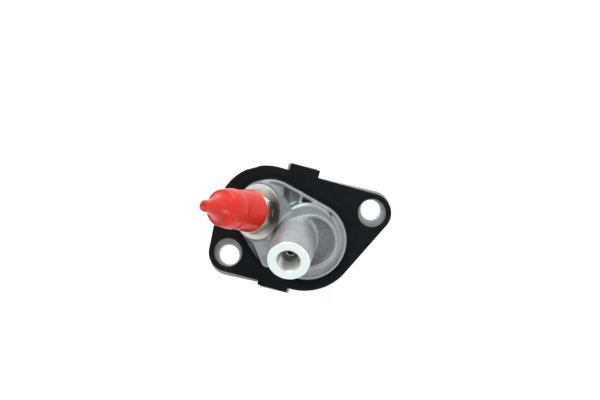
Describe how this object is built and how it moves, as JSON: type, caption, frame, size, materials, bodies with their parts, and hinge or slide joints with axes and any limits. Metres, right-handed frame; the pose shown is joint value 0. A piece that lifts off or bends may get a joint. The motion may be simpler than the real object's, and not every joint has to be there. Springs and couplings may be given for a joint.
{
  "type": "flanged hydraulic slave cylinder",
  "caption": "Flange-mounted hydraulic slave cylinder with an angled threaded port, a capped bleeder, a black cover plate and a booted pushrod.",
  "frame": {"origin": "midway between the flange's bolt holes, in the mounting plane (the back face of the metal flange)", "axes": "+X along the line of the bolt holes, +Z out of the face that carries the pipe port and the bleeder, -Z along the barrel"},
  "size_m": [0.083, 0.0601, 0.1381],
  "materials": {
    "cast_aluminium": "die cast, fine grained, machined on the port and bleeder faces",
    "black_plate": "matte moulded, black",
    "seat_steel": "turned",
    "zinc_steel": "bright zinc plated",
    "red_rubber": "semi-gloss red",
    "black_rubber": "matte black",
    "piston_aluminium": "hard anodised, turned",
    "ptfe": "off-white",
    "nylon": "natural",
    "spring_steel": "drawn wire",
    "rod_steel": "ground"
  },
  "bodies": {
    "housing": {"cylinder_housing": "cast_aluminium", "cylinder_barrel": "cast_aluminium", "flange_plate": "black_plate", "port_seat": "seat_steel", "bleeder_adaptor": "zinc_steel", "stop_washer": "zinc_steel", "circlip": "spring_steel", "dust_boot": "black_rubber", "boot_clamp": "spring_steel"},
    "piston": {"piston": "piston_aluminium", "primary_cup": "black_rubber", "guide_ring": "ptfe", "secondary_seal": "black_rubber", "spring_seat": "nylon", "preload_spring": "spring_steel", "rod_retainer": "nylon"},
    "pushrod": {"pushrod": "rod_steel", "pushrod_tip": "nylon"},
    "screw_seal": {"bleed_screw_oring": "black_rubber"},
    "bleed_screw": {"bleed_screw": "zinc_steel"},
    "cap": {"bleeder_cap": "red_rubber"}
  },
  "joints": [
    {"name": "piston_slide", "type": "slide", "parent": "housing", "child": "piston", "axis": [0, 0, 1], "range_m": [0, 0.014], "stiffness_N_per_m": 600, "springref_m": -0.025, "deforming": ["preload_spring", "dust_boot"]},
    {"name": "pushrod_tilt", "type": "hinge", "parent": "piston", "child": "pushrod", "pos_m": [0.0034, -0.0044, -0.03], "axis": [0, 1, 0], "range_deg": [-4, 4], "stiffness_Nm_per_rad": 0.05, "deforming": ["dust_boot"]},
    {"name": "bleed_screw_lift", "type": "slide", "parent": "housing", "child": "screw_seal", "axis": [-0.5056, 0.239, 0.829], "range_m": [0, 0.00151]},
    {"name": "bleed_screw_turn", "type": "hinge", "parent": "screw_seal", "child": "bleed_screw", "pos_m": [-0.0148, 0.0146, 0.024], "axis": [-0.5056, 0.239, 0.829], "range_deg": [0, 540]},
    {"name": "cap_pull", "type": "slide", "parent": "housing", "child": "cap", "axis": [-0.5056, 0.239, 0.829], "range_m": [0, 0.035]}
  ],
  "couplings": [
    {"joint": "bleed_screw_lift", "follows": "bleed_screw_turn", "m_per_rad": 0.00015915}
  ]
}
